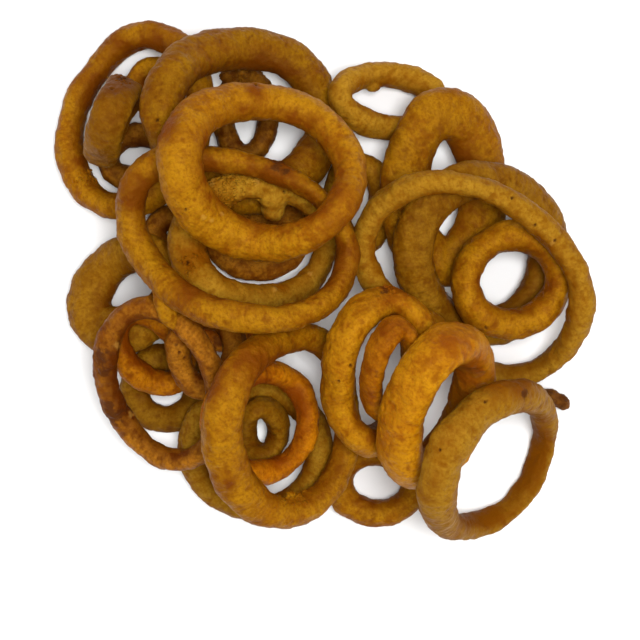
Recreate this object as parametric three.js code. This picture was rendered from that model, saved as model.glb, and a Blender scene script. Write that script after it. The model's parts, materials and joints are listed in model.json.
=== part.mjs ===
import * as THREE from "three";

// A portion of battered, deep-fried onion rings in an uneven heap, as it lies on a flat surface.
// Millimetres, +Z up, the origin on the surface under the middle of the heap.
// The rings are listed from the bottom of the heap to its top, and each one is let down in turn
// until it rests on the surface and on what lies below it.

const GAP = 0.4; // clear space between two rings that touch
const FLAT = 0.8; // how much of a ring's underside is pressed flat by the surface
const STEP = 7.5; // distance between two sections of a ring's mesh
const SIDES = 10; // corners of one section
const FEELERS = 84; // places round a ring where its clearance is felt
const LUMPS = 0.07; // how far the batter's skin dips below its full section, as a share of it
const STIFFNESS = 0.12; // resistance of a ring to bending out of its plane
const TIPPING = 20; // resistance of a ring to tilting away from the lean it was set down at
const CONTACT = 60; // resistance of one ring to being pressed into another
const DROPS = 4; // times that a ring is let down, with its tilt corrected in between

const GOLDEN = 0xb9781c;
const ORANGE = 0xb96f1a;
const PALE = 0xb98a34;
const OLIVE = 0xa27a2a;
const BROWN = 0x8a4a17;
const BURNT = 0x5e2c12;

// A crisp twig of batter that sticks out from under the heap: its two ends, and its radius there.
const TWIG = { name: "crisp_twig", ends: [[84, -30.5], [99.5, -33.5]], radii: [3, 3.9], tint: BURNT };

// at: the ring's middle. half: half its length and half its width, to the middle of the band.
// turn: the long axis, in degrees from +X. band: the band's thickness and its height.
// bulge: how far one side of the outline is drawn out or, below zero, pressed in, and at
// which angle from the long axis.
// swell: how much thicker the band is on one side, and toward which angle.
// lean: the slope at which a steep ring is set down, rise over run, and its uphill direction.
const RINGS = [
  {
    name: "ring_small_upper_left", at: [-68, 97.5], half: [8.5, 7.5],
    turn: 0, band: [10.5, 12], tint: GOLDEN,
  },
  {
    name: "ring_deep_upper_left", at: [-76, 68], half: [12.5, 9.5],
    turn: 10, band: [11, 10], tint: BROWN,
  },
  {
    name: "ring_deep_top", at: [-31, 84.5], half: [16.5, 9.5],
    turn: 90, band: [10.5, 11], tint: BROWN,
  },
  {
    name: "ring_middle", at: [-26, 34.5], half: [16, 11],
    turn: 0, band: [16, 10], tint: BROWN,
  },
  {
    name: "ring_deep_middle", at: [-62.5, 36], half: [7, 6.5],
    turn: 0, band: [11, 10], tint: BROWN,
  },
  {
    name: "ring_deep_left", at: [-64, -28.5], half: [14, 13],
    turn: 0, band: [13, 9.5], tint: OLIVE,
  },
  {
    name: "ring_deep_center", at: [16, 48.5], half: [17.5, 10.5],
    turn: 90, band: [11.5, 10], tint: OLIVE,
  },
  {
    name: "ring_bottom", at: [24, -67.5], half: [16, 13.5],
    turn: 0, band: [12.5, 12], tint: GOLDEN,
  },
  {
    name: "ring_under_left", at: [-26.5, -53.5], half: [27, 25],
    turn: 0, band: [12, 11.5], tint: PALE,
  },
  {
    name: "ring_arch", at: [-24, -45.5], half: [10.5, 7],
    turn: 90, band: [9.5, 12], tint: OLIVE,
  },
  {
    name: "ring_left_middle", at: [-78.5, 11.5], half: [20, 14.5],
    turn: 39, band: [19, 13], swell: [0.18, 215], tint: OLIVE,
  },
  {
    name: "ring_dark", at: [-43, 1], half: [14.5, 8.5],
    turn: 145, band: [8, 9], tint: BROWN,
  },
  {
    name: "ring_small_left", at: [-68, -11.5], half: [17, 11.5],
    turn: 125, band: [11, 10], tint: ORANGE,
  },
  {
    name: "ring_upright_brown", at: [-45.5, -13], half: [15, 11.5],
    turn: 90, band: [11, 11], tint: BROWN,
  },
  {
    name: "ring_left_rim", at: [-76.5, 82], half: [37, 27],
    turn: 74, band: [12, 13], bulge: [-0.09, 68], tint: GOLDEN,
  },
  {
    name: "ring_left_stub", at: [-83, 79], half: [14.5, 3],
    turn: 68, band: [9.5, 15.5], lean: [6, -20], tint: OLIVE,
  },
  {
    name: "ring_thin_brown", at: [-62, -26], half: [31.5, 22],
    turn: 110, band: [10, 10], tint: BROWN,
  },
  {
    name: "ring_inner_bottom", at: [-23, -40.5], half: [21, 18.5],
    turn: 90, band: [10.5, 11], tint: ORANGE,
  },
  {
    name: "ring_top", at: [-29.5, 81], half: [31.5, 30],
    turn: 0, band: [18, 15], tint: GOLDEN,
  },
  {
    name: "ring_top_right", at: [28, 90.5], half: [20.5, 11.5],
    turn: 0, band: [11, 12], tint: PALE,
  },
  {
    name: "ring_upper_right", at: [51, 53.5], half: [30.5, 17],
    turn: 90, band: [23, 15], tint: GOLDEN,
  },
  {
    name: "ring_right_arch", at: [66, 26.5], half: [29.5, 29.5],
    turn: 60, band: [18, 13], tint: OLIVE,
  },
  {
    name: "ring_inner_right", at: [77, 16], half: [19.5, 18],
    turn: 30, band: [13, 15], tint: GOLDEN,
  },
  {
    name: "ring_crumbly", at: [-25, 30.5], half: [28.5, 22.5],
    turn: 5, band: [13, 12], swell: [0.25, 190], tint: PALE,
  },
  {
    name: "ring_bottom_left", at: [-13, -43], half: [33.5, 24],
    turn: 90, band: [14, 13], bulge: [0.2, -32], swell: [0.28, 190], tint: GOLDEN,
  },
  {
    name: "ring_right", at: [60.5, 14.5], half: [47, 34.5],
    turn: 147, band: [10.5, 12], bulge: [-0.33, 85], tint: PALE,
  },
  {
    name: "ring_large_thin", at: [-31.5, 32.5], half: [44.5, 30],
    turn: 158, band: [11, 12], bulge: [-0.13, -67], swell: [0.2, 215], tint: GOLDEN,
  },
  {
    name: "ring_standing_left", at: [23.5, -20], half: [28, 17],
    turn: 80, band: [13, 18], lean: [1.0, 145], tint: GOLDEN,
  },
  {
    name: "ring_inner_standing", at: [27, -19.5], half: [17, 7.5],
    turn: 80, band: [8.5, 13], lean: [1, 145], tint: ORANGE,
  },
  {
    name: "ring_standing_right", at: [44.5, -33.5], half: [26.5, 13.5],
    turn: 72, band: [15.5, 20.5], lean: [1.05, 140], tint: GOLDEN,
  },
  {
    name: "ring_lower_right", at: [68, -56.5], half: [30, 23],
    turn: 56, band: [13, 13], lean: [1.0, 146], swell: [0.46, 150], tint: PALE,
  },
  {
    name: "ring_uppermost", at: [-20.5, 57], half: [32, 28],
    turn: 171, band: [16, 15], swell: [0.16, 190], tint: GOLDEN,
  },
];

const radians = THREE.MathUtils.degToRad;

// The three unevennesses of a fried ring, from its place in the list, between -1 and 1.
function unevenness(index, t) {
  return (
    0.5 * Math.sin(2 * t + 2.1 * index) +
    0.3 * Math.sin(3 * t + 1.3 * index + 1) +
    0.2 * Math.sin(5 * t + 0.7 * index + 2)
  );
}

// Places round a ring, seen from above, with the band's thickness and height at each.
function outline(ring, index, count) {
  const [bulge, bulgeTowards] = ring.bulge ?? [0, 0];
  const [swollen, swellTowards] = ring.swell ?? [0, 0];
  const turn = radians(ring.turn);
  return Array.from({ length: count }, (_, k) => {
    const t = (2 * Math.PI * k) / count;
    const facing = Math.max(0, Math.cos(t - radians(bulgeTowards)));
    const reach = 1 + bulge * facing ** 6 + 0.025 * unevenness(index, t);
    const along = ring.half[0] * Math.cos(t) * reach;
    const across = ring.half[1] * Math.sin(t) * reach;
    const x = along * Math.cos(turn) - across * Math.sin(turn);
    const y = along * Math.sin(turn) + across * Math.cos(turn);
    const fat =
      1 + swollen * Math.cos(Math.atan2(y, x) - radians(swellTowards)) + 0.09 * unevenness(index + 5, t);
    return { t, x, y, thick: ring.band[0] * fat, tall: ring.band[1] * (0.6 + 0.4 * fat) };
  });
}

// The ways a ring can move or bend as it settles: up, the two tilts, and two wavy bends.
const waves = ({ t, x, y }, size) => [
  1,
  x / size,
  y / size,
  Math.cos(2 * t),
  Math.sin(2 * t),
  Math.cos(3 * t),
  Math.sin(3 * t),
];

const dot = (a, b) => a.reduce((sum, value, k) => sum + value * b[k], 0);

// Gaussian elimination of a small, well-filled set of equations.
function solve(matrix, right) {
  const rows = matrix.map((row, k) => [...row, right[k]]);
  const size = rows.length;
  for (let k = 0; k < size; k++) {
    for (let below = k + 1; below < size; below++) {
      const share = rows[below][k] / rows[k][k];
      for (let col = k; col <= size; col++) rows[below][col] -= share * rows[k][col];
    }
  }
  const answer = new Array(size).fill(0);
  for (let k = size - 1; k >= 0; k--) {
    const known = dot(rows[k].slice(k + 1, size), answer.slice(k + 1));
    answer[k] = (rows[k][size] - known) / rows[k][k];
  }
  return answer;
}

const plane = (ring, move) => {
  const size = ring.half[0];
  return new THREE.Vector3(-move[1] / size, -move[2] / size, 1).normalize();
};

// The round beads that fill a band's section at one place: along its height or its thickness.
function section(place, axis) {
  const radius = Math.min(place.thick, place.tall) / 2;
  const spare = (place.tall - place.thick) / 2;
  const outward = new THREE.Vector3(place.x, place.y, 0).normalize();
  const way = spare > 0 ? axis : outward;
  return [-1, 0, 1].map((side) => ({ radius, offset: way.clone().multiplyScalar(side * spare) }));
}

// The lowest height at which each place of the ring clears the surface and all beads below.
function clearances(ring, places, axis, beads) {
  return places.map((place) => {
    let lowest = -Infinity;
    for (const { radius, offset } of section(place, axis)) {
      const x = ring.at[0] + place.x + offset.x;
      const y = ring.at[1] + place.y + offset.y;
      lowest = Math.max(lowest, radius - FLAT - offset.z);
      for (const bead of beads) {
        const reach = radius + bead.radius + GAP;
        const spare = reach * reach - (x - bead.x) ** 2 - (y - bead.y) ** 2;
        if (spare > 0) lowest = Math.max(lowest, bead.z + Math.sqrt(spare) - offset.z);
      }
    }
    return lowest;
  });
}

// Lets a ring down: its weight against its contacts and its resistance to bending.
function settle(ring, places, lowest, start, rest) {
  const size = ring.half[0];
  const ways = places.map((place) => waves(place, size));
  const tip = TIPPING / size ** 2;
  const hold = [0, tip, tip, STIFFNESS, STIFFNESS, STIFFNESS, STIFFNESS];
  let move = start;
  for (let round = 0; round < 120; round++) {
    const force = move.map((value, k) => (k === 0 ? 1 : hold[k] * (value - rest[k])));
    const grip = hold.map((value, k) => hold.map((_, col) => (k === col ? 0.05 + value : 0)));
    ways.forEach((way, k) => {
      const depth = lowest[k] - dot(way, move);
      if (depth <= 0) return;
      for (let row = 0; row < way.length; row++) {
        force[row] -= CONTACT * depth * way[row];
        for (let col = 0; col < way.length; col++) grip[row][col] += CONTACT * way[row] * way[col];
      }
    });
    const change = solve(
      grip,
      force.map((value) => -value),
    );
    const share = 0.7 * Math.min(1, 4 / Math.max(...change.map(Math.abs)));
    move = move.map((value, k) => value + share * change[k]);
  }
  return move;
}

function lay(ring, index, beads) {
  const size = ring.half[0];
  const places = outline(ring, index, FEELERS);
  const [rise, uphill] = ring.lean ?? [0, 0];
  const across = rise * size * Math.cos(radians(uphill));
  const rest = [0, across, rise * size * Math.sin(radians(uphill)), 0, 0, 0, 0];
  let move = [60, ...rest.slice(1)];
  for (let drop = 0; drop < DROPS; drop++) {
    move = settle(ring, places, clearances(ring, places, plane(ring, move), beads), move, rest);
  }
  const axis = plane(ring, move);
  const lowest = clearances(ring, places, axis, beads);
  const heights = places.map((place) => dot(waves(place, size), move));
  move[0] += Math.max(...heights.map((height, k) => lowest[k] - height));
  for (const place of places) {
    const z = dot(waves(place, size), move);
    for (const { radius, offset } of section(place, axis)) {
      beads.push({
        radius,
        x: ring.at[0] + place.x + offset.x,
        y: ring.at[1] + place.y + offset.y,
        z: z + offset.z,
      });
    }
  }
  return move;
}

function meshGeometry(corners, faces) {
  const geometry = new THREE.BufferGeometry();
  geometry.setAttribute("position", new THREE.Float32BufferAttribute(corners, 3));
  geometry.setIndex(faces);
  geometry.computeVertexNormals();
  return geometry;
}

// A closed band round the settled outline, its skin a little lumpy and flat under its weight.
function bandGeometry(ring, index, move) {
  const round = Math.PI * (ring.half[0] + ring.half[1]);
  const count = Math.max(14, Math.round(round / STEP));
  const places = outline(ring, index, count);
  const middles = places.map(
    (place) => new THREE.Vector3(place.x, place.y, dot(waves(place, ring.half[0]), move)),
  );
  const axis = plane(ring, move);
  const corners = [];
  places.forEach((place, k) => {
    const ahead = middles[(k + 1) % count];
    const behind = middles[(k + count - 1) % count];
    const along = ahead.clone().sub(behind).normalize();
    const outward = along.clone().cross(axis).normalize();
    const up = outward.clone().cross(along).normalize();
    for (let side = 0; side < SIDES; side++) {
      const angle = (2 * Math.PI * side) / SIDES;
      const skin = 1 - LUMPS * (0.5 + 0.5 * Math.sin(2.4 * k + 1.9 * side + index));
      const corner = middles[k]
        .clone()
        .addScaledVector(outward, (place.thick / 2) * Math.cos(angle) * skin)
        .addScaledVector(up, (place.tall / 2) * Math.sin(angle) * skin);
      corners.push(corner.x + ring.at[0], corner.y + ring.at[1], Math.max(0, corner.z));
    }
  });
  const faces = [];
  for (let k = 0; k < count; k++) {
    const next = (k + 1) % count;
    for (let side = 0; side < SIDES; side++) {
      const over = (side + 1) % SIDES;
      const [a, b] = [k * SIDES + side, k * SIDES + over];
      const [c, d] = [next * SIDES + over, next * SIDES + side];
      faces.push(a, c, b, a, d, c);
    }
  }
  return meshGeometry(corners, faces);
}

// A closed, ridged strand along the beads of the twig, rounded at both ends.
function twigGeometry(strand) {
  const first = strand[0];
  const last = strand[strand.length - 1];
  const along = new THREE.Vector3(last.x - first.x, last.y - first.y, last.z - first.z).normalize();
  const outward = along.clone().cross(new THREE.Vector3(0, 0, 1)).normalize();
  const up = outward.clone().cross(along);
  const corners = [];
  strand.forEach((bead, k) => {
    const share = k === 0 || k === strand.length - 1 ? 0.7 : 1;
    for (let side = 0; side < SIDES; side++) {
      const angle = (2 * Math.PI * side) / SIDES;
      const radius = bead.radius * share * (side % 2 ? 0.82 : 1) * (1 + 0.06 * Math.sin(2 * k + side));
      const corner = new THREE.Vector3(bead.x, bead.y, bead.z)
        .addScaledVector(outward, radius * Math.cos(angle))
        .addScaledVector(up, radius * Math.sin(angle));
      corners.push(corner.x, corner.y, Math.max(0, corner.z));
    }
  });
  corners.push(first.x, first.y, first.z, last.x, last.y, last.z);
  const faces = [];
  const ends = corners.length / 3 - 2;
  const lastRound = (strand.length - 1) * SIDES;
  for (let side = 0; side < SIDES; side++) {
    const over = (side + 1) % SIDES;
    for (let from = 0; from < lastRound; from += SIDES) {
      const [a, b, c, d] = [from + side, from + over, from + SIDES + over, from + SIDES + side];
      faces.push(a, c, b, a, d, c);
    }
    faces.push(ends, side, over, ends + 1, lastRound + over, lastRound + side);
  }
  return meshGeometry(corners, faces);
}

function twigBeads({ ends: [from, to], radii }) {
  const count = 6;
  return Array.from({ length: count }, (_, k) => {
    const share = k / (count - 1);
    const radius = radii[0] + (radii[1] - radii[0]) * share;
    const x = from[0] + (to[0] - from[0]) * share;
    const y = from[1] + (to[1] - from[1]) * share;
    return { x, y, z: radius - FLAT, radius };
  });
}

const heap = new THREE.Group();

function place({ name, tint }, geometry) {
  const material = new THREE.MeshStandardMaterial({ color: tint, roughness: 0.55, metalness: 0 });
  const mesh = new THREE.Mesh(geometry, material);
  mesh.name = name;
  heap.add(mesh);
}

const beads = twigBeads(TWIG);
place(TWIG, twigGeometry(beads));
RINGS.forEach((ring, index) => {
  place(ring, bandGeometry(ring, index, lay(ring, index, beads)));
});

// The heap's own middle goes over the origin.
const extent = new THREE.Box3().setFromObject(heap);
const middle = extent.getCenter(new THREE.Vector3());
heap.position.set(-middle.x, -middle.y, 0);

export default heap;
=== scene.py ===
import json
import math

import bmesh
import bpy
import numpy as np
from mathutils import Euler, Matrix, Vector


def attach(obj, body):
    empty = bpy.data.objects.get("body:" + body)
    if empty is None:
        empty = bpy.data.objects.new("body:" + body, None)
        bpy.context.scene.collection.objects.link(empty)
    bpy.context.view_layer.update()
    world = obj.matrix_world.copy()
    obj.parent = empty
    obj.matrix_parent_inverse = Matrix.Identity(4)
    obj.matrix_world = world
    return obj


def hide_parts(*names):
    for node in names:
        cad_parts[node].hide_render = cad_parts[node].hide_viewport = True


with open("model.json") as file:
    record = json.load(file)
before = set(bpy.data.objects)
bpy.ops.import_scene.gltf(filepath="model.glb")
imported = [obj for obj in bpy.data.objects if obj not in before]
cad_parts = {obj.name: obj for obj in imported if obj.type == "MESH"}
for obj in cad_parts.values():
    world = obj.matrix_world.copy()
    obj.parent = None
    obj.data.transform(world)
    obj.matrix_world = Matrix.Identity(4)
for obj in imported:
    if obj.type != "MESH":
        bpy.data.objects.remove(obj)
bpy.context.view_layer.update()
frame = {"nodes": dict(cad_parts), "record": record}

MM = 0.001

# The camera looks straight down on the heap, through a square frame.
CAMERA_HEIGHT = 520 * MM
CAMERA_OVER = (0.41 * MM, -17.03 * MM)
CAMERA_FIELD = math.radians(28.98)
CAMERA_NEAR = 10 * MM

FLOOR_COLOR = (0.86, 0.86, 0.86)
FLOOR_ROUGHNESS = 0.9
FLOOR_REACH = 3.0

# Soft round lamps, all aimed at the foot of the heap: place and width in metres, and watts.
LAMPS = {
    "overhead": ((0.08, -0.02, 0.70), 0.30, 5.2),
    "left_fill": ((-0.85, 0.15, 0.50), 0.5, 2.4),
    "right_fill": ((0.85, -0.30, 0.50), 0.5, 2.2),
    "far_fill": ((0.15, 0.90, 0.50), 0.5, 2.3),
    "near_fill": ((-0.10, -0.90, 0.60), 0.6, 1.8),
}
ROOM_COLOR = (1, 1, 1, 1)
ROOM_STRENGTH = 0.33

# One row for each finish: the crust's own colour, that of its paler patches and of its browned
# ones, how much of it is browned, and its specular level.
FINISHES = {
    "golden_batter": {
        "crust": (0.250, 0.084, 0.0008),
        "pale": (0.330, 0.142, 0.0027),
        "toasted": (0.140, 0.033, 0.0004),
        "browning": 0.40,
        "gloss": 0.13,
    },
    "orange_batter": {
        "crust": (0.240, 0.067, 0.0006),
        "pale": (0.310, 0.108, 0.0017),
        "toasted": (0.120, 0.024, 0.0003),
        "browning": 0.45,
        "gloss": 0.13,
    },
    "pale_batter": {
        "crust": (0.230, 0.094, 0.0033),
        "pale": (0.300, 0.150, 0.0102),
        "toasted": (0.150, 0.043, 0.0007),
        "browning": 0.32,
        "gloss": 0.05,
    },
    "olive_batter": {
        "crust": (0.185, 0.070, 0.0014),
        "pale": (0.250, 0.112, 0.0051),
        "toasted": (0.110, 0.030, 0.0005),
        "browning": 0.35,
        "gloss": 0.10,
    },
    "brown_batter": {
        "crust": (0.160, 0.044, 0.0014),
        "pale": (0.270, 0.099, 0.0057),
        "toasted": (0.075, 0.015, 0.0007),
        "browning": 0.55,
        "gloss": 0.13,
    },
    "burnt_batter": {
        "crust": (0.085, 0.022, 0.0027),
        "pale": (0.180, 0.062, 0.0072),
        "toasted": (0.033, 0.008, 0.0017),
        "browning": 0.6,
        "gloss": 0.13,
    },
}
CHARRED = (0.050, 0.012, 0.0025)
FLAKE = (0.40, 0.21, 0.035)

# What is the same in every finish.
SPECULAR_TINT = (1.0, 0.66, 0.20, 1.0)
LIGHT_WITHIN = {
    "Subsurface Weight": 0.1,
    "Subsurface Radius": (1.0, 0.4, 0.1),
    "Subsurface Scale": 1.6 * MM,
}
FINE_GRAIN_DEPTH = 0.22 * MM
# The roughness of the glossiest batter, and what dull patches and mottle add to it.
ROUGHNESS = 0.36
DULL_ROUGHNESS = 0.18
MOTTLE_ROUGHNESS = 0.2

# Turns the colour patches out of the axes, so that they get no straight edges.
PATTERN_TURN = (0.7, 0.4, 1.1)
# The noise of the colour patches: its scale and detail, the values between which it comes in, and
# its full strength.
PATCHES = {
    "pale": (85, 2, 0.42, 0.60, 0.95),
    "mottle": (380, 5, 0.42, 0.64, 0.8),
    "streaks": (560, 4, 0.46, 0.62, 0.6),
    "specks": (900, 4, 0.42, 0.72, 0.55),
    "torn": (420, 4, 0.3, 0.7, 1.0),
    "dull": (260, 3, 0.3, 0.7, 1.0),
}
BROWN_NOISE = (120, 4)
# The values between which other masks come in, and their full strength: brown patches, how high
# and how low the relief is in millimetres, how far a face looks into its ring's hole or away from
# it (browning there is partly real, partly painted shade of the hole's wall and the outer flank),
# and the char.
STEPS = {
    "brown": (0.5, 0.7),
    "high": (0.02, 0.34, 0.65),
    "low": (0.04, 0.36, 0.7),
    "inner": (0.0, 0.9, 0.65),
    "outer": (0.4, 1.0, 0.3),
    "char": (0.6, 1.15, 0.85),
}
# The places of the factor and of the two colours among the inputs of a Mix node.
MIX_SOCKETS = (0, 6, 7)

# The relief of a fried crust. Sizes are across one lump, heights are from dip to top, and a
# squeeze draws the streaks out across the band or along the ring's axis.
CRUST = {
    "Swelling": 0.25 * MM,
    "Lump Size": 13 * MM,
    "Lump Height": 2.8 * MM,
    "Blister Size": 3.8 * MM,
    "Blister Height": 1.3 * MM,
    "Grain Size": 1.6 * MM,
    "Grain Height": 0.70 * MM,
    "Streak Size": 1.9 * MM,
    "Streak Height": 0.20 * MM,
    "Cross Squeeze": 0.25,
    "Axial Squeeze": 0.25,
    "Pore Spacing": 4.0 * MM,
    "Pore Depth": 0.40 * MM,
    "Crag Height": 0.0,
    "Crumb Size": 0.9 * MM,
    # Lightness scales a ring's whole colour: painted light and shade, brightening or darkening
    # each ring to how lit it sits in the heap.
    "Lightness": 1.0,
    "Fry": 0.0,
}
# What a mark does to the crust at its middle. The crumbs are for each square metre.
MARK_INPUTS = {
    "Pit Depth": 1.1 * MM,
    "Flake Height": 0.40 * MM,
    "Craggy Height": 1.4 * MM,
    "Crumbs Density": 0.6e6,
}
# A mark weaker than this is none. The edge of a flake or a pit lies between the two values of its
# mark, and noise of the strength given tears it.
LEAST_MARK = 0.05
MARK_EDGE = (0.5, 0.78)
FLAKE_TEAR = 2.4
PIT_TEAR = 1.1
CRAG_STEEPNESS = 3.0
# A pore's floor and rim, as shares of the Pore Spacing, and the share of cells without a pore.
PORE_FLOOR = 0.04
PORE_RIM = 0.17
CELLS_WITHOUT_PORE = 0.84
# A crumb's three sizes, as shares of the Crumb Size.
CRUMB_SMALLEST = (0.4, 0.4, 0.3)
CRUMB_LARGEST = (1.4, 1.2, 0.8)
# Nothing goes through the surface that the heap lies on.
LEAST_HEIGHT = 0.05 * MM


def link(tree, source, target):
    tree.links.new(source, target)


def fill(tree, socket, value):
    """Gives a socket its link or its value."""
    if isinstance(value, bpy.types.NodeSocket):
        link(tree, value, socket)
    else:
        socket.default_value = value


def add(tree, kind, values=None, **settings):
    """A node of a kind, with its settings and the values or links of its named inputs."""
    made = tree.nodes.new(kind)
    for name, value in settings.items():
        setattr(made, name, value)
    for name, value in (values or {}).items():
        fill(tree, made.inputs[name], value)
    return made


def math_node(tree, operation, *values, clamp=False):
    made = add(tree, "ShaderNodeMath", operation=operation, use_clamp=clamp)
    for socket, value in zip(made.inputs, values):
        fill(tree, socket, value)
    return made.outputs[0]


def vector_node(tree, operation, *vectors):
    made = add(tree, "ShaderNodeVectorMath", operation=operation)
    for socket, vector in zip(made.inputs, vectors):
        link(tree, vector, socket)
    return made.outputs["Value" if operation == "DOT_PRODUCT" else "Vector"]


def scaled(tree, vector, factor):
    made = add(tree, "ShaderNodeVectorMath", {"Scale": factor}, operation="SCALE")
    link(tree, vector, made.inputs[0])
    return made.outputs["Vector"]


def stepped(tree, source, low, high, top=1.0):
    """Goes smoothly from 0 at the low value to its top at the high one."""
    spread = add(
        tree,
        "ShaderNodeMapRange",
        {"Value": source, "From Min": low, "From Max": high, "To Max": top},
        interpolation_type="SMOOTHSTEP",
    )
    return spread.outputs[0]


def new_group(name, kind, inputs, outputs):
    """A node tree with named sockets, the sockets of its input node, and its output node."""
    tree = bpy.data.node_groups.new(name, kind)
    for socket_name, socket_kind, value in inputs:
        socket = tree.interface.new_socket(socket_name, in_out="INPUT", socket_type=socket_kind)
        if value is not None:
            socket.default_value = value
    for socket_name, socket_kind in outputs:
        tree.interface.new_socket(socket_name, in_out="OUTPUT", socket_type=socket_kind)
    given = tree.nodes.new("NodeGroupInput")
    return tree, given.outputs, tree.nodes.new("NodeGroupOutput")


# ---------------------------------------------------------------- the crust's relief


def noise_height(tree, place, seed, size, height, detail):
    """Bumps of a size and a height, centred on no height at all."""
    scale = math_node(tree, "DIVIDE", 1.0, size)
    noise = add(
        tree,
        "ShaderNodeTexNoise",
        {"Vector": place, "W": seed, "Scale": scale, "Detail": detail, "Roughness": 0.5},
        noise_dimensions="4D",
    )
    centred = math_node(tree, "SUBTRACT", noise.outputs[0], 0.5)
    return math_node(tree, "MULTIPLY", centred, height)


def pore_depth(tree, place, seed, spacing):
    """1 in the middle of a small pore, 0 elsewhere."""
    scale = math_node(tree, "DIVIDE", 1.0, spacing)
    cells = add(
        tree,
        "ShaderNodeTexVoronoi",
        {"Vector": place, "W": seed, "Scale": scale, "Randomness": 1.0},
        voronoi_dimensions="4D",
    )
    wall = {"From Min": PORE_FLOOR, "From Max": PORE_RIM, "To Min": 1.0, "To Max": 0.0}
    depth = add(
        tree,
        "ShaderNodeMapRange",
        {"Value": cells.outputs["Distance"], **wall},
        interpolation_type="SMOOTHSTEP",
    )
    pick = add(tree, "FunctionNodeSeparateColor", {"Color": cells.outputs["Color"]})
    chosen = math_node(tree, "GREATER_THAN", pick.outputs[0], CELLS_WITHOUT_PORE)
    return math_node(tree, "MULTIPLY", depth.outputs[0], chosen)


def stored(tree, geometry, name, value, data_type="FLOAT"):
    made = add(
        tree,
        "GeometryNodeStoreNamedAttribute",
        {"Geometry": geometry, "Name": name, "Value": value},
        data_type=data_type,
        domain="POINT",
    )
    return made.outputs[0]


def mark_of(tree, name):
    made = add(tree, "GeometryNodeInputNamedAttribute", {"Name": name}, data_type="FLOAT")
    return made.outputs[0]


def torn_mark(tree, name, noise):
    """A mark with a torn edge: 1 inside, 0 outside."""
    spread = stepped(tree, math_node(tree, "ADD", mark_of(tree, name), noise), *MARK_EDGE)
    touched = math_node(tree, "GREATER_THAN", mark_of(tree, name), LEAST_MARK)
    return math_node(tree, "MULTIPLY", spread, touched)


def ring_places(tree, value, place):
    """Where a point is along its ring, drawn out across the band, and the way out of the hole."""
    reach = vector_node(tree, "SUBTRACT", place, value["Middle"])
    lift = scaled(tree, value["Axis"], vector_node(tree, "DOT_PRODUCT", reach, value["Axis"]))
    flat = vector_node(tree, "SUBTRACT", reach, lift)
    outward = vector_node(tree, "NORMALIZE", flat)
    rim = scaled(tree, outward, value["Radius"])
    across = scaled(tree, vector_node(tree, "SUBTRACT", flat, rim), value["Cross Squeeze"])
    level = vector_node(tree, "ADD", rim, across)
    return vector_node(tree, "ADD", level, scaled(tree, lift, value["Axial Squeeze"])), outward


def with_crumbs(tree, crusted, value):
    """The crust with loose crumbs of batter, where a crumbs mark asks for them."""
    density = math_node(tree, "MULTIPLY", mark_of(tree, "crumbs"), value["Crumbs Density"])
    spots = add(
        tree,
        "GeometryNodeDistributePointsOnFaces",
        {"Mesh": crusted, "Density": density},
        distribute_method="RANDOM",
    )
    crumb = add(
        tree, "GeometryNodeMeshIcoSphere", {"Radius": value["Crumb Size"], "Subdivisions": 1}
    )
    size = add(
        tree,
        "FunctionNodeRandomValue",
        {"Min": CRUMB_SMALLEST, "Max": CRUMB_LARGEST},
        data_type="FLOAT_VECTOR",
    )
    crumbs = add(
        tree,
        "GeometryNodeInstanceOnPoints",
        {
            "Points": spots.outputs["Points"],
            "Instance": crumb.outputs[0],
            "Rotation": spots.outputs["Rotation"],
            "Scale": size.outputs[0],
        },
    )
    joined = add(tree, "GeometryNodeJoinGeometry")
    link(tree, crumbs.outputs[0], joined.inputs[0])
    link(tree, crusted, joined.inputs[0])
    return add(tree, "GeometryNodeRealizeInstances", {"Geometry": joined.outputs[0]}).outputs[0]


def kept_above_floor(tree, geometry):
    place = add(tree, "GeometryNodeInputPosition").outputs[0]
    x, y, z = add(tree, "ShaderNodeSeparateXYZ", {"Vector": place}).outputs
    height = math_node(tree, "MAXIMUM", z, LEAST_HEIGHT)
    level = add(tree, "ShaderNodeCombineXYZ", {"X": x, "Y": y, "Z": height}).outputs[0]
    rested = add(tree, "GeometryNodeSetPosition", {"Geometry": geometry, "Position": level})
    return rested.outputs[0]


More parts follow.
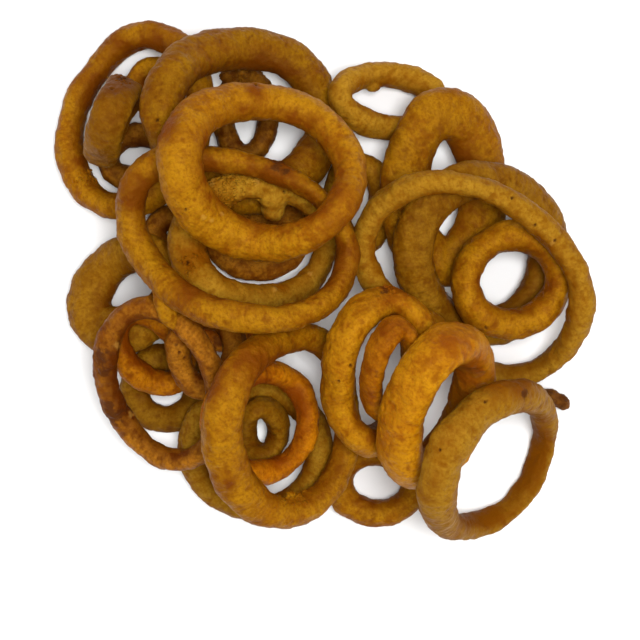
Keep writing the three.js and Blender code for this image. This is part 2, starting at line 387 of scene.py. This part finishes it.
def crust_tree():
    """Gives rounded batter its lumps, blisters, streaks, pores, crags, marks and crumbs."""
    numbers = {**CRUST, **MARK_INPUTS, "Radius": 30 * MM}
    inputs = [("Geometry", "NodeSocketGeometry", None), ("Seed", "NodeSocketFloat", 0.0)]
    inputs += [(name, "NodeSocketFloat", number) for name, number in numbers.items()]
    inputs += [("Middle", "NodeSocketVector", None), ("Axis", "NodeSocketVector", None)]
    inputs += [("Material", "NodeSocketMaterial", None)]
    tree, value, out = new_group(
        "fried_crust", "GeometryNodeTree", inputs, [("Geometry", "NodeSocketGeometry")]
    )
    place = add(tree, "GeometryNodeInputPosition").outputs[0]
    normal = add(tree, "GeometryNodeInputNormal").outputs[0]

    def bumps(size, height, detail, at=place):
        return noise_height(tree, at, value["Seed"], value[size], height, detail)

    along, outward = ring_places(tree, value, place)
    lumps = bumps("Lump Size", value["Lump Height"], 1.0)
    blisters = bumps("Blister Size", value["Blister Height"], 1.0)
    grain = bumps("Grain Size", value["Grain Height"], 2.0)
    streaks = bumps("Streak Size", value["Streak Height"], 2.0, along)
    pores = pore_depth(tree, place, value["Seed"], value["Pore Spacing"])
    peaks = math_node(tree, "MULTIPLY", bumps("Blister Size", 1.0, 4.0), CRAG_STEEPNESS)
    crags = math_node(tree, "MAXIMUM", peaks, 0.0)
    craggy = math_node(
        tree, "MULTIPLY_ADD", mark_of(tree, "craggy"), value["Craggy Height"], value["Crag Height"]
    )
    flaky = torn_mark(tree, "flake", bumps("Grain Size", FLAKE_TEAR, 3.0))
    pitted = torn_mark(tree, "pit", bumps("Grain Size", PIT_TEAR, 2.0))
    relief = math_node(tree, "ADD", math_node(tree, "ADD", blisters, grain), streaks)

    # What the finish reads from the mesh.
    geometry = stored(tree, value["Geometry"], "along", along, "FLOAT_VECTOR")
    for name, number in {
        "facing": vector_node(tree, "DOT_PRODUCT", normal, outward),
        "painted_shading": value["Lightness"],
        "fry": value["Fry"],
        "pore": pores,
        "flaky": flaky,
        "pitted": pitted,
        "relief": math_node(tree, "DIVIDE", relief, MM),
    }.items():
        geometry = stored(tree, geometry, name, number)

    total = math_node(tree, "ADD", value["Swelling"], math_node(tree, "ADD", lumps, relief))
    total = math_node(tree, "MULTIPLY_ADD", crags, craggy, total)
    total = math_node(tree, "MULTIPLY_ADD", flaky, value["Flake Height"], total)
    for hollow, depth in ((pores, "Pore Depth"), (pitted, "Pit Depth")):
        sunk = math_node(tree, "MULTIPLY", hollow, value[depth])
        total = math_node(tree, "SUBTRACT", total, sunk)
    offset = scaled(tree, normal, total)
    crusted = add(tree, "GeometryNodeSetPosition", {"Geometry": geometry, "Offset": offset})

    rested = kept_above_floor(tree, with_crumbs(tree, crusted.outputs[0], value))
    painted = add(
        tree, "GeometryNodeSetMaterial", {"Geometry": rested, "Material": value["Material"]}
    )
    link(tree, painted.outputs[0], out.inputs[0])
    return tree


# ---------------------------------------------------------------- the crust's finish


# The inputs of the tone group that come from the mesh, and the names they have there.
TONE_MARKS = {
    "Pore": "pore",
    "Pit": "pitted",
    "Relief": "relief",
    "Char": "char",
    "Flaky": "flaky",
    "Facing": "facing",
    "Toast": "toast",
    "Bleach": "bleach",
    "Fry": "fry",
    "Lightness": "painted_shading",
}


def tone_group():
    """The batter's colour and roughness: patches, streaks, specks, pores, pits and burnt spots,
    browning of each ring's sides that is partly painted shade, and painted light and shade over
    each whole ring.
    """
    tones = ("Crust", "Pale", "Toasted", "Charred", "Flake")
    inputs = [("Vector", "NodeSocketVector", None), ("Along", "NodeSocketVector", None)]
    inputs += [(name, "NodeSocketColor", None) for name in tones]
    inputs += [("Browning", "NodeSocketFloat", 0.3)]
    inputs += [(name, "NodeSocketFloat", 0.0) for name in TONE_MARKS]
    outputs = [("Color", "NodeSocketColor"), ("Roughness", "NodeSocketFloat")]
    tree, value, out = new_group("batter_tone", "ShaderNodeTree", inputs, outputs)
    turned = add(
        tree,
        "ShaderNodeVectorRotate",
        {"Vector": value["Vector"], "Rotation": PATTERN_TURN},
        rotation_type="EULER_XYZ",
    ).outputs[0]

    def noise(scale, detail, vector=turned):
        made = add(
            tree,
            "ShaderNodeTexNoise",
            {"Vector": vector, "Scale": scale, "Detail": detail, "Roughness": 0.6},
        )
        return made.outputs[0]

    def patches(name, vector=turned):
        scale, detail, *steps = PATCHES[name]
        return stepped(tree, noise(scale, detail, vector), *steps)

    def mixed(factor, first, second, blend="MIX"):
        made = add(tree, "ShaderNodeMix", data_type="RGBA", blend_type=blend, clamp_factor=True)
        for index, item in zip(MIX_SOCKETS, (factor, first, second)):
            fill(tree, made.inputs[index], item)
        return made.outputs[2]

    def over(color, factor, tone, strength=None):
        """A tone over a colour, as far as a mask shows it."""
        if strength is not None:
            factor = math_node(tree, "MULTIPLY", factor, strength)
        return mixed(factor, color, value[tone])

    bleached = math_node(tree, "MULTIPLY_ADD", value["Bleach"], 0.9, patches("pale"))
    lightly_fried = math_node(tree, "MULTIPLY", value["Fry"], -1.0)
    mottle = patches("mottle")
    color = over(value["Crust"], math_node(tree, "MAXIMUM", bleached, lightly_fried), "Pale")
    color = over(color, mottle, "Pale")
    color = over(color, stepped(tree, value["Relief"], *STEPS["high"]), "Pale")

    brown_noise = noise(*BROWN_NOISE)
    # Faces that look into the hole, and more weakly those that look outward, are browned: partly
    # real browning at the edges, partly painted shade on the hole's wall and the outer flank.
    into_hole = math_node(tree, "MULTIPLY", value["Facing"], -1.0)
    inner = stepped(tree, into_hole, *STEPS["inner"])
    outer = stepped(tree, value["Facing"], *STEPS["outer"])
    brown = stepped(tree, brown_noise, *STEPS["brown"])
    brown = math_node(tree, "MULTIPLY", brown, value["Browning"])
    # So this toast sum holds painted shade of the ring's sides as well as the toast marks.
    toast = math_node(tree, "ADD", math_node(tree, "ADD", inner, outer), value["Toast"])
    uneven = math_node(tree, "MULTIPLY_ADD", brown_noise, 1.4, 0.3)
    toast = math_node(tree, "MULTIPLY", toast, uneven)
    toast = math_node(tree, "ADD", toast, math_node(tree, "MAXIMUM", value["Fry"], 0.0))
    color = over(color, math_node(tree, "ADD", brown, toast, clamp=True), "Toasted")
    color = over(color, patches("streaks", value["Along"]), "Toasted", 0.5)
    sunken = math_node(tree, "MULTIPLY", value["Relief"], -1.0)
    color = over(color, stepped(tree, sunken, *STEPS["low"]), "Toasted")
    color = over(color, patches("specks"), "Toasted")
    color = over(color, value["Pore"], "Toasted", 0.8)
    color = over(color, value["Flaky"], "Flake", 0.35)

    ragged = math_node(tree, "MULTIPLY_ADD", patches("torn"), 0.7, value["Char"])
    color = over(color, stepped(tree, ragged, *STEPS["char"]), "Charred")
    color = over(color, value["Pit"], "Charred", 0.9)
    # The whole colour is scaled by the ring's lightness: painted light and shade for how lit the
    # ring is in the heap.
    painted_shading_grey = add(tree, "ShaderNodeCombineColor")
    for socket in painted_shading_grey.inputs:
        link(tree, value["Lightness"], socket)
    link(tree, mixed(1.0, color, painted_shading_grey.outputs[0], "MULTIPLY"), out.inputs["Color"])

    rough = math_node(tree, "MULTIPLY_ADD", patches("dull"), DULL_ROUGHNESS, ROUGHNESS)
    rough = math_node(tree, "MULTIPLY_ADD", mottle, MOTTLE_ROUGHNESS, rough)
    link(tree, rough, out.inputs["Roughness"])
    return tree


def grain_group():
    """The height of the fine grain that is too small for the mesh."""
    inputs = [("Vector", "NodeSocketVector", None)]
    outputs = [("Height", "NodeSocketFloat")]
    tree, value, out = new_group("batter_grain", "ShaderNodeTree", inputs, outputs)
    fine, soft = (
        add(
            tree,
            "ShaderNodeTexNoise",
            {"Vector": value["Vector"], "Scale": scale, "Detail": detail, "Roughness": roughness},
        ).outputs[0]
        for scale, detail, roughness in ((1500, 3, 0.6), (480, 2, 0.5))
    )
    link(tree, math_node(tree, "MULTIPLY_ADD", soft, 2.0, fine), out.inputs["Height"])
    return tree


def batter(name, finish, groups):
    """The material of one finish."""
    material = bpy.data.materials.new(name)
    material.use_nodes = True
    tree = material.node_tree
    tree.nodes.clear()
    output = add(tree, "ShaderNodeOutputMaterial")
    place = add(tree, "ShaderNodeTexCoord").outputs["Object"]
    along = add(tree, "ShaderNodeAttribute", attribute_name="along").outputs["Vector"]
    tone = add(tree, "ShaderNodeGroup", node_tree=groups["tone"])
    colors = {
        "Crust": finish["crust"],
        "Pale": finish["pale"],
        "Toasted": finish["toasted"],
        "Charred": CHARRED,
        "Flake": FLAKE,
    }
    given = {"Vector": place, "Along": along, "Browning": finish["browning"]}
    given |= {socket: (*color, 1) for socket, color in colors.items()}
    for socket, value in given.items():
        fill(tree, tone.inputs[socket], value)
    for socket, attribute in TONE_MARKS.items():
        mark = add(tree, "ShaderNodeAttribute", attribute_name=attribute)
        link(tree, mark.outputs["Fac"], tone.inputs[socket])
    grain = add(tree, "ShaderNodeGroup", node_tree=groups["grain"])
    link(tree, place, grain.inputs["Vector"])
    bump = add(
        tree,
        "ShaderNodeBump",
        {"Strength": 1.0, "Distance": FINE_GRAIN_DEPTH, "Height": grain.outputs["Height"]},
    )
    shader = add(
        tree,
        "ShaderNodeBsdfPrincipled",
        {
            "Base Color": tone.outputs["Color"],
            "Roughness": tone.outputs["Roughness"],
            "Normal": bump.outputs[0],
            "Specular IOR Level": finish["gloss"],
            "Specular Tint": SPECULAR_TINT,
            **LIGHT_WITHIN,
        },
    )
    link(tree, shader.outputs[0], output.inputs["Surface"])
    return material


# ---------------------------------------------------------------- the rings

# Own touches of each ring: changed inputs of its crust, marks and dabs of batter. A mark is
# (x, y, reach) or (x, y, reach, strength), in millimetres as seen from above: a pit is a small
# hole, char is burnt, toast browner, bleach paler, flake a raised pale scale, craggy rough, and
# crumbs loose crumbs. A dab is its middle, its half sizes in millimetres, and its turns about x,
# y and z in degrees.
# A ring's Lightness is painted light and shade: it brightens or darkens that ring's whole colour
# to how lit it is in the heap.
RINGS = {
    "ring_small_upper_left": {},
    "ring_deep_upper_left": {"Lightness": 0.85},
    "ring_deep_top": {
        "Blister Height": 1.6 * MM,
        "Lightness": 0.68,
        "crumbs": [(-36, 84, 4), (-30, 85.2, 4)],
        "craggy": [(-33, 85, 7)],
        "bleach": [(-31, 85, 3)],
        "dabs": [
            ((-37, 83.5, 8.5), (4.2, 2.6, 2.6), (0, 20, 15)),
            ((-30.6, 84.6, 9.5), (2.8, 2.0, 2.0), (10, 0, -20)),
        ],
    },
    "ring_middle": {"Lightness": 1.2},
    "ring_deep_middle": {},
    "ring_deep_left": {"Lightness": 0.85},
    "ring_deep_center": {"Lightness": 1.15},
    "ring_bottom": {"Lightness": 0.93, "pit": [(24.3, -73.4, 1.0)]},
    "ring_small_left": {
        "Lightness": 1.22,
        "Fry": -0.1,
        "bleach": [(-69.7, -38.7, 6)],
        "toast": [(-75.3, -24.8, 6)],
    },
    "ring_upright_brown": {
        "Blister Height": 1.4 * MM,
        "Lightness": 1.14,
        "pit": [(-54.7, -29.6, 0.8), (-55.8, -26.8, 0.7), (-52.9, -31.9, 0.7)],
        "bleach": [(-54.3, -30.9, 6)],
    },
    "ring_under_left": {"Lightness": 0.92, "Fry": -0.2, "bleach": [(-46, -62, 9)]},
    "ring_arch": {"Lightness": 0.98},
    "ring_right_arch": {"Lightness": 0.92},
    "ring_left_middle": {"Lightness": 1.06, "toast": [(-70, -3, 7)]},
    "ring_left_rim": {
        "crumbs": [(-95.4, 41.4, 3)],
        "toast": [(-64.6, 100.7, 10, 0.7), (-85.9, 96.9, 9, 0.7), (-95, 82, 9, 0.5)],
        "bleach": [(-81, 90, 5)],
    },
    "ring_left_stub": {
        "pit": [(-78.9, 71.4, 0.9)],
        "char": [(-76.8, 76.8, 1.8)],
        "bleach": [(-83, 55, 9, 0.3)],
        "Fry": 0.1,
        "toast": [(-77.8, 75.4, 6), (-90, 66, 6, 0.6)],
        "crumbs": [(-77.8, 76.5, 2.5)],
    },
    "ring_thin_brown": {
        "Blister Height": 1.5 * MM,
        "Lightness": 1.15,
        "Grain Height": 0.55 * MM,
        "toast": [(-83.5, -34, 8, 0.8), (-82, -50, 7, 0.7), (-73, -18, 7, 0.5)],
        "char": [(-85, -31, 3.4), (-84.4, -37.3, 3.2), (-80.5, -54.8, 4), (-83.5, -51.2, 2.6)],
        "craggy": [(-83, -36.6, 7), (-80.5, -53.6, 5)],
        "flake": [(-78.9, -26.7, 1.8), (-75.2, -54.8, 1.6)],
        "bleach": [(-51.3, -72.7, 12), (-66, -66, 9)],
    },
    "ring_inner_bottom": {
        "Lightness": 1.5,
        "Fry": -0.15,
        "toast": [(-31.2, -38.9, 9), (-10, -50, 7)],
    },
    "ring_dark": {
        "Blister Height": 1.8 * MM,
        "Crag Height": 0.5 * MM,
        "Lightness": 3.6,
        "char": [(-42.0, -26.0, 2.5)],
    },
    "ring_inner_right": {"char": [(66.4, -19.8, 1.0)]},
    "ring_top": {"Lightness": 0.71, "pit": [(-61.4, 58.9, 0.8)], "toast": [(-22, 82, 9)]},
    "ring_top_right": {
        "Lightness": 1.12,
        "Fry": -0.5,
        "dabs": [((22.4, 79.0, 10.0), (3.0, 2.2, 3.0), (0, 0, 10))],
    },
    "ring_crumbly": {
        "Blister Height": 1.3 * MM,
        "Lightness": 1.2,
        "pit": [(-13.6, 33.0, 0.8), (-51.5, 5.2, 1.1)],
        "craggy": [(-38, 33.5, 8), (-30, 36, 6), (-50, 6, 5)],
        "crumbs": [(-39, 33, 7), (-33, 36, 5), (-51, 4.5, 3)],
        "flake": [(-24.1, 36.9, 1.8), (-17.6, -5, 1.5), (-3.6, 1.7, 1.3), (-41.5, 35.5, 1.4)],
        "bleach": [(-19.5, -5.1, 15), (-16, 33, 8), (-7.4, 31, 6), (-3.6, 2, 6)],
        "toast": [(-43, 29, 7), (-51, 8, 6)],
        "dabs": [
            ((-18.4, 30.5, 32.5), (6.2, 5.0, 4.0), (0, 0, -10)),
            ((-18.2, 27.6, 29.0), (5.2, 5.6, 4.6), (20, 0, 0)),
        ],
    },
    "ring_upper_right": {"Lightness": 0.88, "toast": [(58, 47, 8)]},
    "ring_bottom_left": {
        "Lightness": 0.93,
        "crumbs": [(-11.6, -85.5, 3), (-8.6, -87, 3)],
        "toast": [(-34.1, -77.1, 3), (-22, -31.9, 9), (-40, -40, 6)],
        "bleach": [(-38, -62, 10), (-30, -84, 9)],
        "dabs": [
            ((-11.4, -85.6, 33), (2.0, 1.5, 1.6), (0, 0, 20)),
            ((-8.2, -86.8, 31), (1.6, 1.3, 1.5), (0, 0, -30)),
        ],
    },
    "ring_right": {
        "Fry": -0.45,
        "pit": [(74.1, 29.8, 0.9), (83.4, 19.6, 0.8), (91.3, 13.5, 0.9)],
        "flake": [(90.6, 12.9, 1.5)],
    },
    "ring_large_thin": {
        "Lightness": 0.9,
        "char": [(-15.9, 42.0, 3.2, 0.8), (-12.5, 39.2, 1.8, 0.8)],
        "craggy": [(-15.9, 42.0, 4)],
        "bleach": [
            (-59, -12, 7),
            (-68.3, 12.4, 11),
            (-74.2, 15.5, 9),
            (-64.4, 7.7, 9),
            (-21.7, -17, 14),
        ],
        "toast": [
            (-16, 41, 7),
            (10, 2.1, 8, 0.6),
            (11.9, 7.8, 8, 0.6),
            (-45, 46, 8, 0.5),
            (-72, 32, 8, 0.8),
            (-50, -7, 5),
        ],
        "dabs": [((-58.6, -11.5, 47.5), (3.8, 11.0, 2.4), (8, 0, 18))],
    },
    "ring_inner_standing": {"Lightness": 1.06, "toast": [(22.6, -18.9, 5, 0.5)]},
    "ring_standing_left": {
        "Lightness": 1.15,
        "pit": [(12.1, -34.3, 0.9), (14.1, -35.6, 0.9), (7.6, -40, 0.8)],
        "crumbs": [(25, -6.1, 3)],
        "char": [(25.0, -6.0, 1.6)],
        "toast": [(26.9, -7.6, 8, 0.5), (30, -22, 6)],
        "bleach": [(16.5, -64.8, 9), (9.7, -28.2, 12)],
    },
    "ring_standing_right": {
        "Lightness": 1.3,
        "toast": [(47.3, -22.4, 8, 0.35), (60, -33, 8, 0.6)],
        "bleach": [(29.4, -72.8, 9), (32.2, -76, 8), (36.3, -42.1, 11)],
    },
    "ring_lower_right": {
        "Lightness": 0.95,
        "Fry": 0.05,
        "Streak Height": 0.05 * MM,
        "pit": [(60.6, -46.9, 0.8), (43.6, -63.8, 0.7)],
        "char": [(76.5, -44.5, 1.8)],
        "toast": [
            (74.6, -41.5, 6),
            (66, -38.5, 7),
            (88, -66, 7, 0.8),
            (84, -80, 7, 0.8),
            (66, -96, 8, 0.8),
        ],
        "bleach": [
            (50.9, -56.7, 11, 0.9),
            (41, -78, 11, 0.8),
            (75, -51, 8, 0.7),
            (58, -46, 8, 0.6),
        ],
    },
    "ring_uppermost": {
        "pit": [(-49.4, 23.6, 0.9), (-24.0, 72.6, 1.0), (-50.7, 22.2, 0.6)],
        "flake": [(-43.1, 21.3, 1.1), (-40.4, 20.5, 0.8), (-36.5, 23, 0.9)],
        # Its first two bleach spots paint the left side paler where this ring is most lit: painted
        # light.
        "bleach": [(-52.2, 39.2, 15), (-36.8, 18.3, 8), (-7.2, 63.2, 11), (-30, 64, 8)],
        "toast": [(6, 18.2, 9, 0.6), (12.3, 29.4, 8, 0.6), (-24.2, 70, 3.5), (-55, 54, 6)],
    },
    "crisp_twig": {
        "Crag Height": 0.4 * MM,
        "Streak Size": 1.2 * MM,
        "Streak Height": 1.6 * MM,
        "Cross Squeeze": 1.0,
        "Axial Squeeze": 0.1,
        "dabs": [
            ((101.2, -51.0, 4.6), (3.0, 3.5, 3.4), (0, 0, 25)),
            ((95.5, -49.5, 4.6), (6.0, 3.7, 3.5), (0, 0, -11)),
        ],
    },
}
MARKS = ("pit", "char", "toast", "bleach", "flake", "craggy", "crumbs")
TWIG = "crisp_twig"
# How far apart the seeds of two rings in the list are.
SEED_STEP = 7.3

# How often a blank is rounded, the size of one face of its skin, and the strength and the rounds
# of the smoothing that melts its dabs into it.
ROUNDING = 2
SKIN_SIZE = 0.62 * MM
MELTING = (0.5, 6)
# The faces of a dab, around it and from its top to its foot.
DAB_FACES = (12, 8)
SAME_POINT = 1e-6


def add_dab(sheet, middle, half_sizes, turns):
    """A closed lump of batter in a sheet of faces."""
    turn = Euler([math.radians(angle) for angle in turns]).to_matrix().to_4x4()
    sizes = Matrix.Diagonal((*(size * MM for size in half_sizes), 1))
    place = Matrix.Translation([value * MM for value in middle])
    around, down = DAB_FACES
    bmesh.ops.create_uvsphere(
        sheet, u_segments=around, v_segments=down, radius=1.0, matrix=place @ turn @ sizes
    )


def quad_blank(node, name, dabs):
    """A copy of a node's solid, merged into one skin of four-sided faces, with its dabs."""
    sheet = bmesh.new()
    sheet.from_mesh(node.data)
    bmesh.ops.remove_doubles(sheet, verts=sheet.verts, dist=SAME_POINT)
    bmesh.ops.join_triangles(
        sheet,
        faces=sheet.faces,
        angle_face_threshold=math.pi,
        angle_shape_threshold=math.pi,
    )
    for dab in dabs:
        add_dab(sheet, *dab)
    mesh = bpy.data.meshes.new(name)
    sheet.to_mesh(mesh)
    sheet.free()
    blank = bpy.data.objects.new(name, mesh)
    bpy.context.scene.collection.objects.link(blank)
    return blank


def set_input(modifier, name, value):
    sockets = modifier.node_group.interface.items_tree
    modifier[next(s.identifier for s in sockets if s.name == name and s.in_out == "INPUT")] = value


def made_plain(piece):
    """Makes what its modifiers give the piece's own mesh, and takes them off."""
    bpy.context.view_layer.update()
    graph = bpy.context.evaluated_depsgraph_get()
    result = bpy.data.meshes.new_from_object(piece.evaluated_get(graph))
    piece.modifiers.clear()
    old = piece.data
    piece.data = result
    bpy.data.meshes.remove(old)
    return result


def round_off(piece):
    """Rounds a blank, melts its dabs into it and gives it an even mesh."""
    rounding = piece.modifiers.new("rounding", "SUBSURF")
    rounding.levels = rounding.render_levels = ROUNDING
    skin = piece.modifiers.new("skin", "REMESH")
    skin.mode = "VOXEL"
    skin.voxel_size = SKIN_SIZE
    melting = piece.modifiers.new("melting", "SMOOTH")
    melting.factor, melting.iterations = MELTING
    return made_plain(piece)


def points_of(mesh, what="co"):
    flat = np.zeros(len(mesh.vertices) * 3, np.float32)
    mesh.vertices.foreach_get(what, flat)
    return flat.reshape(-1, 3)


def mark(mesh, marks):
    """Writes each kind of mark on the upper side of a mesh, as a strength at every point."""
    points = points_of(mesh) / MM
    upward = np.clip(points_of(mesh, "normal")[:, 2] * 2 + 0.5, 0, 1)
    for kind, spots in marks.items():
        strength = np.zeros(len(points), np.float32)
        for x, y, reach, *amount in spots:
            away = np.hypot(points[:, 0] - x, points[:, 1] - y) / reach
            spot = np.exp(-(away**2)) * upward * (amount[0] if amount else 1.0)
            strength = np.maximum(strength, spot)
        attribute = mesh.attributes.new(kind, "FLOAT", "POINT")
        attribute.data.foreach_set("value", strength.astype(np.float32))


def lie_of(mesh, is_twig):
    """The middle of a mesh, the axis of its ring or strand, and its mean radius round that."""
    points = points_of(mesh).astype(float)
    middle = points.mean(0)
    spread = points - middle
    thinnest, _, longest = np.linalg.eigh(spread.T @ spread)[1].T
    axis = longest if is_twig else thinnest
    flat = spread - np.outer(spread @ axis, axis)
    radius = 0.0 if is_twig else float(np.linalg.norm(flat, axis=1).mean())
    return {"Middle": middle, "Axis": axis, "Radius": radius}


def fry(piece, tree, values):
    """Gives a rounded blank its crust, and makes the result a plain mesh."""
    modifier = piece.modifiers.new("crust", "NODES")
    modifier.node_group = tree
    for name, value in values.items():
        set_input(modifier, name, value)
    fried = made_plain(piece)
    fried.polygons.foreach_set("use_smooth", np.ones(len(fried.polygons), bool))
    fried.update()


groups = {"tone": tone_group(), "grain": grain_group()}
materials = {name: batter(name, finish, groups) for name, finish in FINISHES.items()}
crust = crust_tree()
slots = {row["node"]: row["material_slot"] for row in frame["record"]["subparts"]}

for index, (node_name, touches) in enumerate(RINGS.items()):
    piece = quad_blank(frame["nodes"][node_name], "fried_" + node_name, touches.get("dabs", ()))
    values = {"Seed": index * SEED_STEP, "Material": materials[slots[node_name]]}
    values |= lie_of(piece.data, node_name == TWIG)
    values |= {name: touches.get(name, usual) for name, usual in CRUST.items()}
    mark(round_off(piece), {kind: touches[kind] for kind in MARKS if kind in touches})
    fry(piece, crust, values)
    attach(piece, "root")
    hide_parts(node_name)


# ---------------------------------------------------------------- floor, light and camera


def pale_floor():
    mesh = bpy.data.meshes.new("floor")
    far = FLOOR_REACH
    corners = [(-far, -far, 0), (far, -far, 0), (far, far, 0), (-far, far, 0)]
    mesh.from_pydata(corners, [], [(0, 1, 2, 3)])
    floor = bpy.data.objects.new("floor", mesh)
    bpy.context.scene.collection.objects.link(floor)
    material = bpy.data.materials.new("pale_floor")
    material.use_nodes = True
    shader = material.node_tree.nodes["Principled BSDF"]
    shader.inputs["Base Color"].default_value = (*FLOOR_COLOR, 1)
    shader.inputs["Roughness"].default_value = FLOOR_ROUGHNESS
    mesh.materials.append(material)


def soft_light(name, place, width, power):
    light = bpy.data.lights.new(name, "AREA")
    light.shape = "DISK"
    light.size = width
    light.energy = power
    lamp = bpy.data.objects.new(name, light)
    bpy.context.scene.collection.objects.link(lamp)
    lamp.location = place
    lamp.rotation_euler = (-Vector(place)).to_track_quat("-Z", "Y").to_euler()


pale_floor()
for lamp_name, lamp_row in LAMPS.items():
    soft_light(lamp_name, *lamp_row)

room = bpy.data.worlds.new("studio")
room.use_nodes = True
room.node_tree.nodes["Background"].inputs["Color"].default_value = ROOM_COLOR
room.node_tree.nodes["Background"].inputs["Strength"].default_value = ROOM_STRENGTH
bpy.context.scene.world = room
bpy.context.scene.view_settings.view_transform = "Standard"

lens = bpy.data.cameras.new("camera")
lens.sensor_fit = "HORIZONTAL"
lens.angle = CAMERA_FIELD
lens.clip_start = CAMERA_NEAR
camera = bpy.data.objects.new("camera", lens)
camera.location = (*CAMERA_OVER, CAMERA_HEIGHT)
bpy.context.scene.collection.objects.link(camera)
bpy.context.scene.camera = camera
